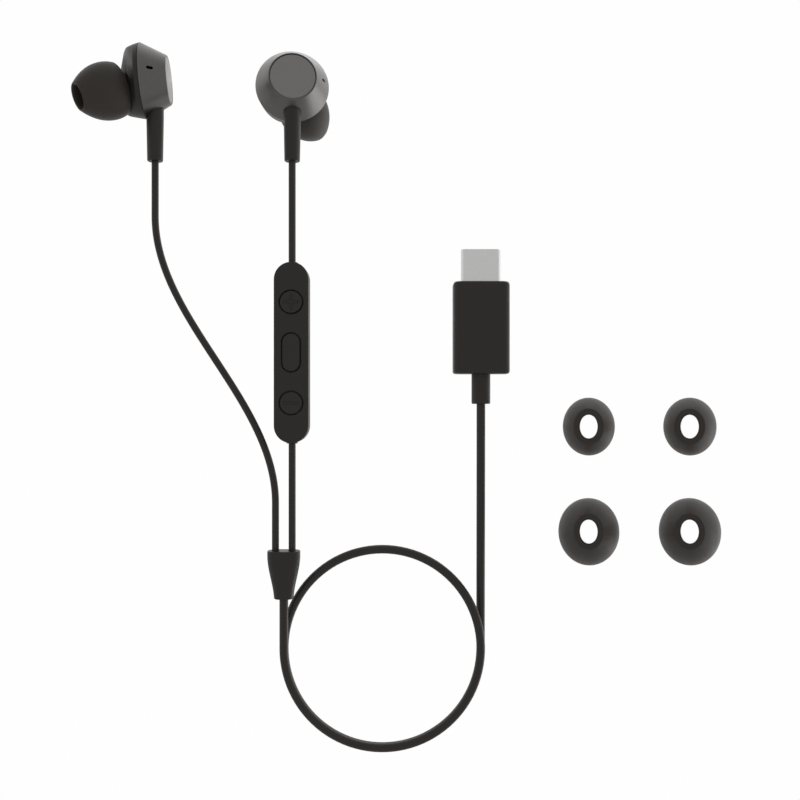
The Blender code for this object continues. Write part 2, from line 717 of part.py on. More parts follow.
def spare_tips(parent, origin):
    """Two pairs of spare tips. Each turns its opening to one point, well in front of the set."""
    for size, height in SPARE_TIP_Z.items():
        for hand, x in zip(("left", "right"), SPARE_TIP_X):
            front = Vector((x, -4.5, height)) - origin
            slide = empty(f"{size}_spare_tip_{hand}_lift", front, parent)
            slide.rotation_euler = (VIEWPOINT - origin - front).to_track_quat("Z", "Y").to_euler()
            ear_tip(f"{size}_spare_tip_{hand}", size, slide)


def flex(name, at, parent, parent_at):
    """The point that a cable bends about, both given in the layout's frame."""
    return empty(name, Vector(at) - Vector(parent_at), parent)


def main():
    clear_scene()
    shoulder = Vector((PLUG_X, 0, PLUG_SHOULDER_Z))
    root = empty("plug_frame", shoulder - BOTTOM_CENTRE)
    plug(root)
    spare_tips(root, shoulder)

    plug_end = PLUG_SHOULDER_Z - OVERMOLD_HEIGHT - PLUG_RELIEF_LENGTH - GAP - CABLE_RADIUS
    splitter_end = SPLITTER_TOP_Z - SPLITTER_LENGTH - GAP - CABLE_RADIUS
    plug_flex_at = Vector((PLUG_X, 0, plug_end))
    splitter_flex_at = Vector((SPLITTER_X, 0, splitter_end))
    plug_flex = flex("plug_flex", plug_flex_at, root, shoulder)
    path = main_cable_path(plug_end, splitter_end)
    tube("main_cable", path, CABLE_RADIUS, plug_flex, plug_flex_at)
    splitter_flex = flex("splitter_flex", splitter_flex_at, plug_flex, plug_flex_at)
    splitter(splitter_flex, Vector((SPLITTER_X, 0, SPLITTER_TOP_Z)) - splitter_flex_at)

    lead_low = SPLITTER_TOP_Z + GAP + LEAD_RADIUS
    lead_high = BUD_Z - RELIEF_END - GAP - LEAD_RADIUS
    left_low_at = Vector((SPLITTER_X - LEAD_SPACING / 2, 0, lead_low))
    left_high_at = Vector((LEFT_X, 0, lead_high))
    left_flex = flex("left_lead_flex", left_low_at, splitter_flex, splitter_flex_at)
    tube("left_lead", left_lead_path(lead_low, lead_high), LEAD_RADIUS, left_flex, left_low_at)
    left_bud_flex = flex("left_bud_flex", left_high_at, left_flex, left_low_at)
    earbud("left", left_bud_flex, Vector((LEFT_X, 0, BUD_Z)) - left_high_at)

    stand_off = REMOTE_LENGTH / 2 + GAP + LEAD_RADIUS
    heights = (lead_low, REMOTE_Z - stand_off, REMOTE_Z + stand_off, lead_high)
    points = [Vector((RIGHT_X, 0, height)) for height in heights]
    right_low_at, remote_at, upper_at, right_high_at = points
    right_flex = flex("right_lead_flex", right_low_at, splitter_flex, splitter_flex_at)
    tube("right_lead_lower", [right_low_at, remote_at], LEAD_RADIUS, right_flex, right_low_at)
    remote_flex = flex("remote_flex", remote_at, right_flex, right_low_at)
    remote(remote_flex, stand_off * Z)
    upper_flex = flex("right_upper_flex", upper_at, remote_flex, remote_at)
    tube("right_lead_upper", [upper_at, right_high_at], LEAD_RADIUS, upper_flex, upper_at)
    right_bud_flex = flex("right_bud_flex", right_high_at, upper_flex, upper_at)
    earbud("right", right_bud_flex, Vector((RIGHT_X, 0, BUD_Z)) - right_high_at)


main()
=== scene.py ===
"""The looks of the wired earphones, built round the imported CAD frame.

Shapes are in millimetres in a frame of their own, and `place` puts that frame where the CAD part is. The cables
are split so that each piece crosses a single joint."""

import json
import math

import bmesh
import bpy
import numpy as np
from mathutils import Matrix, Vector


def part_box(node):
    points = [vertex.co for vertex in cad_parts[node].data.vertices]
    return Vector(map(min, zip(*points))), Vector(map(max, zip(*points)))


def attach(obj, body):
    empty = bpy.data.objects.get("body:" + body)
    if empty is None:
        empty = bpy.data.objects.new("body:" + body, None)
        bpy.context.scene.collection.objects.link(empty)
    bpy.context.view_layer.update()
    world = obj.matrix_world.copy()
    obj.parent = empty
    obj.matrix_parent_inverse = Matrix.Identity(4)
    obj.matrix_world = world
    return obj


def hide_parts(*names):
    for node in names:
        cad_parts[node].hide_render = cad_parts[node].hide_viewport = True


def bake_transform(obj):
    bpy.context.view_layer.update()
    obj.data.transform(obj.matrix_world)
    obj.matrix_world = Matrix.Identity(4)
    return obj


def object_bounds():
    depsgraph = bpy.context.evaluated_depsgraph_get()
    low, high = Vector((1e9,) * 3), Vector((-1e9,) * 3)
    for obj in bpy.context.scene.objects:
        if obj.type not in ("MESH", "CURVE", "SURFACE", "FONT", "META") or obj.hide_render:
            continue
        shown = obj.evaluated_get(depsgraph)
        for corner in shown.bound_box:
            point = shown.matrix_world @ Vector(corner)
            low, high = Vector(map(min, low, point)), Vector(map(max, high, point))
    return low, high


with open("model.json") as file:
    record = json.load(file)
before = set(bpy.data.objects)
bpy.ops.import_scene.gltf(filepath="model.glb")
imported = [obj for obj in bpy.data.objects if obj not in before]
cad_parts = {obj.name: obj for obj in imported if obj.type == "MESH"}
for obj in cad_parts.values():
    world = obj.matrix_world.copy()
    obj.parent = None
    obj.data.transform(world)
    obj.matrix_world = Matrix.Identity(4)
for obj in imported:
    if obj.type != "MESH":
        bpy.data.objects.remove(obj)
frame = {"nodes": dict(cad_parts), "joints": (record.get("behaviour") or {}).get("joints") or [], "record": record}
cad_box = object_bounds()

MM = 0.001  # metres in a millimetre
X, Y, Z = Vector((1, 0, 0)), Vector((0, 1, 0)), Vector((0, 0, 1))
JOINTS = {joint["name"]: joint for joint in frame["joints"]}
SMOOTH_ANGLE = math.radians(38)

# Resolution
ROUND_SIDES = 144
TIP_SIDES = 112
CABLE_SIDES = 36
ARC_STEPS = 22  # on each round end of a slot shape or corner of a box
FILLET_STEPS = 6

# Camera, in front of the set, as far above and beside its origin as the picture was taken from
CAMERA_FROM_ORIGIN = Vector((-0.8, -207.76, 72.94))
LENS = 45.0
SENSOR = 36.0

# Studio light: its even grey, and soft boxes of (direction, degrees where full, degrees where gone, strength)
STUDIO_GREY = 0.52
SOFT_BOXES = (
    ((0.4, 0.6, 0.7), 15, 50, 0.52),  # above and behind, a little to the right
    ((-0.4, 0.6, 0.7), 15, 50, 0.25),  # above and behind, a little to the left
    ((0.95, 0.3, 0.1), 10, 45, 0.4),  # right
    ((-0.9, 0.3, 0.3), 8, 35, 0.15),  # left and behind
    ((-1, 0, 0), 8, 30, 0.13),  # left
    ((0.8, 0.5, -0.35), 12, 27, 1.25),  # low on the right
    ((0, 1, 0), 15, 45, 0.24),  # the paper behind
)

# Cables
COIL_TURNS = 1.5
COIL_TALLER = 0.15  # it is this much more than its radius in its half height
COIL_PITCH = 3.1
COIL_SPREAD = 0.0038  # the coil grows by this share for each millimetre that it goes back
LEAD_STRAIGHT_LOW = 8.8  # of the left lead, above the splitter
LEAD_STRAIGHT_HIGH = 10.25
LEAD_BEND_REACH = 21.0
CABLE_GRIP = 3.0  # of cable that goes into a strain relief

# Strain reliefs
RELIEF_LIP = 0.3
RELIEF_STRAIGHT = 2.3  # length at the root that doesn't narrow
RELIEF_ROOM = 0.06  # round a relief in its groove

# Remote
KEYS = ("volume_up", "play_pause", "volume_down")
KEY_GROOVE = 0.24
KEY_FLANGE = 0.45  # behind the cover, beyond the edge of its hole
COVER_WALL = 0.8

# Earbuds
BUD_RELIEF_END = 1.58
SHELL_SLANT = math.radians(17.0)
SHELL_DEPTH = 3.8
NOZZLE_LENGTH = 9.0
NOZZLE_SETBACK = 2.4  # of its end from the tip's opening
NOZZLE_HALF_WIDTH = 1.68
NOZZLE_BORE = 1.26
NOZZLE_OVAL = 0.7  # its half height is this much more than its half width
VENT_ANGLE = math.radians(5.5)
VENT_SHIFT = -0.35
PLATE_CROWN = 0.35

# Ear tips
FITTED_HALF_WIDTH = 5.05
TIP_OPENING = 1.78
TIP_ROUNDNESS = 2.1  # of its dome: 1 is a cone
FITTED_LIP = 2.12  # half width of the ridge round its opening
SPARE_LIP = 2.84
TIP_OVAL = 0.58  # at its opening its half height is this much more than its half width
TIP_OVAL_GROWTH = 0.03  # more of that for each millimetre further out


# ---------------------------------------------------------------- measures of the CAD


def points_of(node):
    """The corners of a CAD node, in millimetres, each once."""
    corners = np.array([v.co for v in frame["nodes"][node].data.vertices], float) / MM
    return np.unique(np.round(corners, 4), axis=0)


def middle(node):
    return Vector(points_of(node).mean(axis=0).tolist())


def box_of(node):
    """(centre, size) of a CAD node, in millimetres."""
    low, high = (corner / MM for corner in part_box(node))
    return (low + high) / 2, high - low


def reach(node, origin, axis):
    """(lowest, highest, greatest radius) of a CAD node along and about an axis through origin."""
    away = points_of(node) - np.array(origin)
    along = away @ np.array(axis)
    radius = np.linalg.norm(away - np.outer(along, axis), axis=1)
    return float(along.min()), float(along.max()), float(radius.max())


def normal_of(node):
    """The axis of a thin round plate: the direction that its corners spread least in."""
    points = points_of(node)
    return Vector(np.linalg.eigh(np.cov((points - points.mean(axis=0)).T))[1][:, 0])


def hinge_at(name):
    return Vector(JOINTS[name]["pos_m"]) / MM


def place(origin, across, up):
    """The matrix of a frame at origin, in millimetres, with these as its first two axes."""
    turn = Matrix((across, up, across.cross(up))).transposed().to_4x4()
    return Matrix.Translation(MM * Vector(origin)) @ turn


# ---------------------------------------------------------------- outlines and profiles


def oval(half_width, half_height, sides):
    turns = [2 * math.pi * i / sides for i in range(sides)]
    return [Vector((half_width * math.cos(a), half_height * math.sin(a))) for a in turns]


def circle(radius, sides=ROUND_SIDES):
    return oval(radius, radius, sides)


def arc(centre, radius, start, turn, steps):
    angles = [math.radians(start + turn * step / steps) for step in range(steps + 1)]
    return [Vector((centre[0] + radius * math.cos(a), centre[1] + radius * math.sin(a))) for a in angles]


def stadium(length, width, steps=ARC_STEPS):
    """A slot shape along the first axis."""
    end = (length - width) / 2
    return arc((end, 0), width / 2, -90, 180, steps) + arc((-end, 0), width / 2, 90, 180, steps)


def rounded_box(width, height, corner, steps=ARC_STEPS // 2):
    right, top = width / 2 - corner, height / 2 - corner
    centres = ((right, top), (-right, top), (-right, -top), (right, -top))
    return [point for i, at in enumerate(centres) for point in arc(at, corner, 90 * i, 90, steps)]


def filleted(corners, around=False):
    """(across, height, fillet) corners as points, with each corner cut back by its fillet and rounded."""
    points = []
    for i, (u, v, fillet) in enumerate(corners):
        here = Vector((u, v))
        if not fillet or (not around and i in (0, len(corners) - 1)):
            points.append(here)
            continue
        before, after = (Vector(corners[j % len(corners)][:2]) - here for j in (i - 1, i + 1))
        start, end = (side * min(fillet / side.length, 0.48) for side in (before, after))
        for step in range(FILLET_STEPS + 1):
            t = step / FILLET_STEPS
            points.append(here + (1 - t) ** 2 * start + t * t * end)
    return points


def flowing(rows, steps):
    """Rows of numbers with steps - 1 more between each two, on a smooth curve through them."""
    rows = [np.array(row, float) for row in rows]
    padded = [2 * rows[0] - rows[1], *rows, 2 * rows[-1] - rows[-2]]
    made = []
    for a, b, c, d in zip(padded, padded[1:], padded[2:], padded[3:]):
        for step in range(steps):
            t = step / steps
            square, cube = 2 * a - 5 * b + 4 * c - d, 3 * b - a - 3 * c + d
            made.append(0.5 * (2 * b + (c - a) * t + square * t**2 + cube * t**3))
    return made + [rows[-1]]


def bezier(start, start_handle, end_handle, end, steps):
    points = []
    for step in range(steps + 1):
        t, s = step / steps, 1 - step / steps
        points.append(s**3 * start + 3 * s * s * t * start_handle + 3 * s * t * t * end_handle + t**3 * end)
    return points


# ---------------------------------------------------------------- meshes


def add_piece(name, body, at, material):
    bmesh.ops.recalc_face_normals(body, faces=body.faces)
    mesh = bpy.data.meshes.new(name)
    body.to_mesh(mesh)
    body.free()
    mesh.materials.append(material)
    mesh.shade_smooth()
    mesh.set_sharp_from_angle(angle=SMOOTH_ANGLE)
    piece = bpy.data.objects.new(name, mesh)
    bpy.context.scene.collection.objects.link(piece)
    piece.matrix_world = at
    return piece


def skin(body, rings, around=False):
    """Add to body the surface through rings of equally many points, capped or joined end to end."""
    loops = [[body.verts.new(MM * Vector(point)) for point in ring] for ring in rings]
    for near, far in zip(loops, loops[1:] + (loops[:1] if around else [])):
        for i, corner in enumerate(near):
            body.faces.new((near[i - 1], corner, far[i], far[i - 1]))
    if not around:
        body.faces.new(loops[0])
        body.faces.new(loops[-1])


def loft(name, rings, at, material, around=False):
    body = bmesh.new()
    skin(body, rings, around)
    return add_piece(name, body, at, material)


def raised(outline, height):
    return [Vector((u, v, height)) for u, v in outline]


def swept(name, outline, corners, at, material, around=False):
    """A solid whose outline(inset) is drawn at the (inset, height, fillet) corners of a profile."""
    rings = [raised(outline(inset), height) for inset, height in filleted(corners, around)]
    return loft(name, rings, at, material, around)


def turned(name, corners, at, material, around=False, sides=ROUND_SIDES):
    """A solid of revolution about its frame's third axis through (radius, height, fillet) corners."""
    return swept(name, lambda radius: circle(radius, sides), corners, at, material, around)


def combine(piece, operation, tools):
    """Take the tools' shapes out of a piece, or add them to it, for good."""
    for tool in tools:
        modifier = piece.modifiers.new(tool.name, "BOOLEAN")
        modifier.operation = operation
        modifier.object = tool
    bpy.context.view_layer.update()
    evaluated = piece.evaluated_get(bpy.context.evaluated_depsgraph_get())
    mesh = bpy.data.meshes.new_from_object(evaluated)
    piece.modifiers.clear()
    material = piece.data.materials[0]
    piece.data = mesh
    mesh.materials.clear()
    mesh.materials.append(material)
    mesh.shade_smooth()
    mesh.set_sharp_from_angle(angle=SMOOTH_ANGLE)
    for tool in tools:
        bpy.data.objects.remove(tool)
    return piece


def cut(piece, *tools):
    return combine(piece, "DIFFERENCE", tools)


def tube(name, path, radius, material):
    """A round cable along a path of points in the set's own frame."""
    tangents = [(b - a).normalized() for a, b in zip(path[:1] + path[:-1], path[1:] + path[-1:])]
    across = tangents[0].orthogonal().normalized()
    rings = []
    for centre, along in zip(path, tangents):
        across = (across - across.dot(along) * along).normalized()
        up = along.cross(across)
        rings.append([centre + u * across + v * up for u, v in circle(radius, CABLE_SIDES)])
    return loft(name, rings, Matrix.Identity(4), material)


def stand_for(piece, body, *nodes, slot=None):
    """Ride a piece on a body in place of CAD nodes, which are hidden. Its slot is not used."""
    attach(piece, body)
    return shown_for(piece, *nodes, slot=slot)


def shown_for(piece, *nodes, slot=None):
    if nodes:
        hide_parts(*nodes)
    return piece


SLOTS = {row["node"]: row["material_slot"] for row in frame["record"]["subparts"]}


# ---------------------------------------------------------------- materials


def add(tree, kind, inputs=(), **settings):
    """A shader node. An input's value is a number, a tuple or the output that feeds it."""
    made = tree.nodes.new("ShaderNode" + kind)
    for key, value in settings.items():
        setattr(made, key, value)
    for key, value in dict(inputs).items():
        if isinstance(value, bpy.types.NodeSocket):
            tree.links.new(value, made.inputs[key])
        else:
            made.inputs[key].default_value = value
    return made


def new_material(name):
    material = bpy.data.materials.new(name)
    material.use_nodes = True
    tree = material.node_tree
    return material, tree, tree.nodes["Principled BSDF"]


def here(tree):
    return add(tree, "TexCoord").outputs["Object"]


def noise(tree, vector, size_mm, detail=2.0):
    """Noise with features of about this size, from 0 to 1."""
    inputs = {"Vector": vector, "Scale": 1 / (MM * size_mm), "Detail": detail}
    return add(tree, "TexNoise", inputs).outputs["Fac"]


def between(tree, value, low, high):
    """value, from 0.3 to 0.7, spread from low to high."""
    inputs = {"Value": value, "From Min": 0.3, "From Max": 0.7, "To Min": low, "To Max": high}
    return add(tree, "MapRange", inputs).outputs["Result"]


def tinted(tree, value, colour, spread):
    """A colour that gets darker and lighter by this share with value."""
    inputs = {"Fac": between(tree, value, 0, 1)}
    mix = add(tree, "MixRGB", inputs)
    mix.inputs["Color1"].default_value = (*(c * (1 - spread) for c in colour), 1)
    mix.inputs["Color2"].default_value = (*(c * (1 + spread) for c in colour), 1)
    return mix.outputs["Color"]


def wire_up(tree, shader, **sockets):
    for key, value in sockets.items():
        name = key.replace("_", " ")
        if isinstance(value, bpy.types.NodeSocket):
            tree.links.new(value, shader.inputs[name])
        else:
            shader.inputs[name].default_value = value


def bumped(tree, height, depth_mm, strength=1.0, under=None):
    inputs = {"Height": height, "Distance": MM * depth_mm, "Strength": strength}
    if under is not None:
        inputs["Normal"] = under
    return add(tree, "Bump", inputs).outputs["Normal"]


def moulded_plastic(name, colour, roughness, grain=0.09):
    """Spark-eroded plastic: a fine even grain, and slight changes of sheen from the mould and from touch."""
    material, tree, shader = new_material(name)
    at = here(tree)
    fine, broad = noise(tree, at, grain, 3.0), noise(tree, at, 5.0)
    wire_up(
        tree, shader, Base_Color=tinted(tree, broad, colour, 0.07), Specular_IOR_Level=0.45,
        Roughness=between(tree, broad, roughness - 0.05, roughness + 0.05), Normal=bumped(tree, fine, 0.006),
    )
    return material


def silicone():
    """Soft matt silicone, which lightens where it is seen edge on."""
    material, tree, shader = new_material("silicone")
    at = here(tree)
    fine, broad = noise(tree, at, 0.07, 3.0), noise(tree, at, 2.6)
    wire_up(
        tree, shader, Base_Color=tinted(tree, broad, (0.033, 0.026, 0.021), 0.06), Specular_IOR_Level=0.4,
        Roughness=between(tree, broad, 0.52, 0.62), Sheen_Weight=0.16, Sheen_Roughness=0.45,
        Sheen_Tint=(0.9, 0.86, 0.82, 1), Subsurface_Weight=0.05, Subsurface_Scale=MM * 0.6,
        Normal=bumped(tree, fine, 0.005),
    )
    return material


def cable_jacket():
    """Satin elastomer with the faint long marks of extrusion."""
    material, tree, shader = new_material("cable_jacket")
    at = here(tree)
    fine, broad = noise(tree, at, 0.1, 3.0), noise(tree, at, 7.0)
    wire_up(
        tree, shader, Base_Color=tinted(tree, broad, (0.0155, 0.0122, 0.0088), 0.08),
        Roughness=between(tree, broad, 0.40, 0.50), Specular_IOR_Level=0.5, Normal=bumped(tree, fine, 0.004),
    )
    return material


def spun_metal(name, colour, roughness, anisotropy):
    """Metal brushed round its piece's third axis: long fine scratches that follow the turn."""
    material, tree, shader = new_material(name)
    at = add(tree, "SeparateXYZ", {"Vector": here(tree)})
    x, y, z = (at.outputs[axis] for axis in "XYZ")
    flat = add(tree, "CombineXYZ", {"X": x, "Y": y})
    radius = add(tree, "VectorMath", {0: flat.outputs["Vector"]}, operation="LENGTH").outputs["Value"]
    around = add(tree, "VectorMath", {0: flat.outputs["Vector"]}, operation="NORMALIZE").outputs["Vector"]
    slope = add(tree, "Math", {0: radius, 1: z}, operation="SUBTRACT").outputs["Value"]
    along = add(tree, "CombineXYZ", {"Z": slope}).outputs["Vector"]
    scaled = add(tree, "VectorMath", {0: around, "Scale": MM * 0.35}, operation="SCALE").outputs["Vector"]
    vector = add(tree, "VectorMath", {0: scaled, 1: along}, operation="ADD").outputs["Vector"]
    scratches, broad = noise(tree, vector, 0.05, 4.0), noise(tree, here(tree), 3.0)
    tangent = add(tree, "Tangent", direction_type="RADIAL", axis="Z").outputs["Tangent"]
    mixed = add(tree, "Math", {0: scratches, 1: broad}, operation="ADD").outputs["Value"]
    half = add(tree, "Math", {0: mixed, 1: 0.5}, operation="MULTIPLY").outputs["Value"]
    wire_up(
        tree, shader, Base_Color=tinted(tree, scratches, colour, 0.10), Metallic=0.95,
        Roughness=between(tree, half, roughness - 0.05, roughness + 0.05), Anisotropic=anisotropy,
        Tangent=tangent, Normal=bumped(tree, scratches, 0.003),
    )
    return material


def drawn_steel():
    """Nickel-plated steel with fine scratches up its piece's third axis."""
    material, tree, shader = new_material("drawn_steel")
    stretched = add(tree, "Mapping", {"Vector": here(tree), "Scale": (1, 1, 0.03)}).outputs["Vector"]
    scratches, broad = noise(tree, stretched, 0.06, 3.0), noise(tree, here(tree), 2.5)
    wire_up(
        tree, shader, Base_Color=tinted(tree, scratches, (0.86, 0.86, 0.855), 0.05), Metallic=1.0,
        Roughness=between(tree, broad, 0.24, 0.34), Normal=bumped(tree, scratches, 0.002),
    )
    return material


def plated(name, colour, roughness):
    """A plated part too small for a lay of scratches: a mottled polish."""
    material, tree, shader = new_material(name)
    mottle = noise(tree, here(tree), 0.3, 4.0)
    wire_up(
        tree, shader, Base_Color=tinted(tree, mottle, colour, 0.08), Metallic=1.0,
        Roughness=between(tree, mottle, roughness - 0.06, roughness + 0.06),
        Normal=bumped(tree, mottle, 0.004),
    )
    return material


def woven_screen():
    """A steel screen with a square weave: wires over and under, and painted shade in place of the holes between
    them.
    """
    material, tree, shader = new_material("woven_screen")
    at = add(tree, "SeparateXYZ", {"Vector": here(tree)})
    waves = []
    for axis in "XY":
        turns = add(tree, "Math", {0: at.outputs[axis], 1: 2 * math.pi / (MM * 0.28)}, operation="MULTIPLY")
        sine = add(tree, "Math", {0: turns.outputs["Value"]}, operation="SINE")
        waves.append(add(tree, "Math", {0: sine.outputs["Value"]}, operation="ABSOLUTE").outputs["Value"])
    wires = add(tree, "Math", {0: waves[0], 1: waves[1]}, operation="MAXIMUM").outputs["Value"]
    inputs = {"Value": wires, "From Min": 0.55, "From Max": 0.8, "To Min": 0.0, "To Max": 1.0}
    share = add(tree, "MapRange", inputs).outputs["Result"]
    mix = add(tree, "MixRGB", {"Fac": share})
    # Near-black painted shade where the holes would be, mixed with the grey steel of the wires
    mix.inputs["Color1"].default_value = (0.004, 0.004, 0.004, 1)
    mix.inputs["Color2"].default_value = (0.22, 0.22, 0.22, 1)
    wire_up(
        tree, shader, Base_Color=mix.outputs["Color"], Metallic=share, Roughness=0.4,
        Normal=bumped(tree, wires, 0.05),
    )
    return material


def circuit_board():
    """Solder mask over copper: a lighter lattice of traces under a green gloss."""
    material, tree, shader = new_material("circuit_board")
    inputs = {"Vector": here(tree), "Scale": 1 / (MM * 0.9)}
    cells = add(tree, "TexVoronoi", inputs, distance="CHEBYCHEV").outputs["Distance"]
    wire_up(
        tree, shader, Base_Color=tinted(tree, cells, (0.02, 0.15, 0.07), 0.35), Roughness=0.35,
        Normal=bumped(tree, cells, 0.02),
    )
    return material


def wound_wire():
    """Copper wire in close turns about its piece's third axis."""
    material, tree, shader = new_material("wound_wire")
    at = add(tree, "SeparateXYZ", {"Vector": here(tree)})
    turns = add(tree, "Math", {0: at.outputs["Z"], 1: 2 * math.pi / (MM * 0.12)}, operation="MULTIPLY")
    wire = add(tree, "Math", {0: turns.outputs["Value"]}, operation="SINE").outputs["Value"]
    wire_up(
        tree, shader, Base_Color=tinted(tree, wire, (0.70, 0.30, 0.15), 0.15), Metallic=1.0, Roughness=0.35,
        Normal=bumped(tree, wire, 0.03),
    )
    return material


BLACK = (0.018, 0.0142, 0.0106)
PLASTIC = moulded_plastic("black_plastic", BLACK, 0.42)
KEY_PLASTIC = moulded_plastic("key_plastic", (0.020, 0.0158, 0.012), 0.36, 0.06)
SHELL_PLASTIC = moulded_plastic("housing_plastic", BLACK, 0.40)
CONE_METAL = spun_metal("cone_metal", (0.162, 0.158, 0.154), 0.32, 0.5)
PLATE_METAL = spun_metal("plate_metal", (0.26, 0.255, 0.248), 0.36, 0.35)
SILICONE = silicone()
JACKET = cable_jacket()
STEEL = drawn_steel()
GOLD = plated("gold_contact", (0.80, 0.56, 0.24), 0.26)
SCREEN = woven_screen()
FINISH_OF_SLOT = {
    "dark_plastic": PLASTIC,
    "satin_grey_metal": CONE_METAL,
    "silicone": SILICONE,
    "cable_jacket": JACKET,
    "steel": STEEL,
    "gold_contact": GOLD,
    "circuit_board": circuit_board(),
    "chip": moulded_plastic("chip_package", (0.015, 0.015, 0.017), 0.3, 0.03),
    "magnet": plated("magnet", (0.45, 0.46, 0.47), 0.3),
    "copper_wire": wound_wire(),
    "speaker_film": moulded_plastic("speaker_film", (0.30, 0.27, 0.22), 0.3, 0.2),
    "woven_steel": SCREEN,
}


def dress_cad_nodes():
    """Give the CAD nodes that stay shown, all inside the others, their procedural materials."""
    for node, obj in frame["nodes"].items():
        obj.data.materials.clear()
        obj.data.materials.append(FINISH_OF_SLOT[SLOTS[node]])


# ---------------------------------------------------------------- plug


def overmold():
    centre, size = box_of("plug_overmold")
    shell = box_of("usb_c_shell")[1]
    corner, top_edge, bottom_edge, gap = 1.5, 0.85, 0.6, 0.06
    top_face, bottom_face, mouth_edge, mouth_depth = 1.5, 3.0, 0.12, 3.0
    mouth = [shell.x + 2 * gap, shell.y + 2 * gap]

    def outline(inset):
        return rounded_box(size.x - 2 * inset, size.y - 2 * inset, corner - 0.4 * inset)

    def pocket(height):
        return raised(rounded_box(*mouth, mouth[1] / 2 - 0.001), height)

    half = size.z / 2
    profile = [(bottom_face, -half, 0), (0, -half, bottom_edge), (0, half, top_edge), (top_face, half, 0)]
    rings = [raised(outline(inset), height) for inset, height in filleted(profile)]
    rings += [pocket(half), pocket(half - mouth_edge), pocket(half - mouth_depth)]
    piece = loft("plug_grip", rings, place(centre, X, Y), PLASTIC)
    return stand_for(piece, "plug", "plug_overmold")


def usb_shell():
    centre, size = box_of("usb_c_shell")
    wall, half = 0.3, size.z / 2

    def outline(inset):
        return stadium(size.x - 2 * inset, size.y - 2 * inset)

    corners = [(0, -half, 0), (0, half, 0.16), (wall, half, 0.12), (wall, -half, 0)]
    piece = swept("plug_shell", outline, corners, place(centre, X, Y), STEEL, around=True)
    return stand_for(piece, "plug", "usb_c_shell")


def contact_housing():
    """The dark lining of the mouth, with its slot for the socket's tongue."""
    centre, size = box_of("plug_contact_housing")
    half, slot_width, slot_depth, floor = size.z / 2, 6.75, 1.3, 9.9

    def outline(inset):
        return stadium(size.x - 2 * inset, size.y - 2 * inset)

    rings = [raised(outline(i), h) for i, h in filleted([(0, -half, 0), (0, half, 0.1), (0.25, half, 0)])]
    slot = stadium(slot_width, slot_depth)
    rings += [raised(slot, half), raised(slot, half - floor)]
    piece = loft("plug_mouth_lining", rings, place(centre, X, Y), PLASTIC)
    return stand_for(piece, "plug", "plug_contact_housing")


def contacts(node, side):
    """A row of sprung fingers that bow towards the tongue near their tips."""
    centre, size = box_of(node)
    count, pitch, half, length = 12, 0.5, 0.11, 6.2
    top, thick, bow, bowed = size.z / 2, 0.12, 0.12, 0.45  # bowed is the share of the length that is
    body = bmesh.new()
    for i in range(count):
        middle_x = (i - (count - 1) / 2) * pitch
        rings = []
        for step in range(13):
            share = step / 12
            lean = -side * bow * math.sin(math.pi * min(share / bowed, 1)) ** 2
            low, high = lean - thick / 2, lean + thick / 2
            z = top - length * share
            rings.append([
                Vector((middle_x - half, low, z)), Vector((middle_x + half, low, z)),
                Vector((middle_x + half, high, z)), Vector((middle_x - half, high, z)),
            ])
        skin(body, rings)
    piece = add_piece(node.replace("_contacts", "_contact_fingers"), body, place(centre, X, Y), GOLD)
    return stand_for(piece, "plug", node)


def sleeve(name, body, node, at, radius, end_radius, length):
    """A strain relief round a cable. Its frame stands at its root, with its third axis away from its end."""
    bore = (CABLE_RADIUS if body == "plug" else LEAD_RADIUS) + 0.05
    corners = [
        (bore, -length, 0),
        (end_radius, -length, RELIEF_LIP),
        (radius, -RELIEF_STRAIGHT, 1.0),
        (radius, 0, 0),
        (bore, 0, 0),
    ]
    return stand_for(turned(name, corners, at, PLASTIC, around=True), body, node)


def plug():
    overmold()
    usb_shell()
    contact_housing()
    contacts("plug_front_contacts", -1)
    contacts("plug_back_contacts", 1)
    centre, size = box_of("plug_overmold")
    root = Vector((centre.x, centre.y, centre.z - size.z / 2))
    relief = box_of("plug_strain_relief")[1]
    length = root.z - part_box("plug_strain_relief")[0].z / MM
    sleeve("plug_relief", "plug", "plug_strain_relief", place(root, X, Y), relief.x / 2, relief.x / 2, length)


# ---------------------------------------------------------------- cables

PLUG_FLEX, SPLITTER_FLEX = hinge_at("plug_flex"), hinge_at("splitter_flex")
CABLE_RADIUS = box_of("main_cable_end")[1].x / 2
LEAD_RADIUS = box_of("right_lead_lower")[1].x / 2
COIL_RADIUS = (PLUG_FLEX.x - SPLITTER_FLEX.x) / 2
VIEW_MIDDLE = Vector((CAMERA_FROM_ORIGIN.x - 1.15, 0, CAMERA_FROM_ORIGIN.z + 0.55))


def coil_centre():
    """Its height follows from the lowest point, which is a quarter turn before the coil ends."""
    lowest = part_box("main_cable")[0].z / MM + CABLE_RADIUS
    spread = 1 + COIL_SPREAD * COIL_PITCH * (COIL_TURNS - 0.25)
    bottom = VIEW_MIDDLE.z + (lowest - VIEW_MIDDLE.z) / spread
    return Vector(((PLUG_FLEX.x + SPLITTER_FLEX.x) / 2, PLUG_FLEX.y, bottom + COIL_RADIUS + COIL_TALLER))


def coil_point(x, z, back):
    """A point of the coil. Deeper turns are laid wider, so that from the front they cover one another."""
    spread = 1 + COIL_SPREAD * back
    wide, high = x - VIEW_MIDDLE.x, z - VIEW_MIDDLE.z
    return Vector((VIEW_MIDDLE.x + wide * spread, PLUG_FLEX.y + back, VIEW_MIDDLE.z + high * spread))


def coil_path(first, last, steps):
    """The part of the coil from one number of turns to another."""
    centre, path = coil_centre(), []
    for step in range(steps + 1):
        turns = first + (last - first) * step / steps
        angle = math.pi * (1 + 2 * turns)
        x = centre.x + COIL_RADIUS * math.cos(angle)
        z = centre.z + (COIL_RADIUS + COIL_TALLER) * math.sin(angle)
        path.append(coil_point(x, z, COIL_PITCH * turns))
    return path


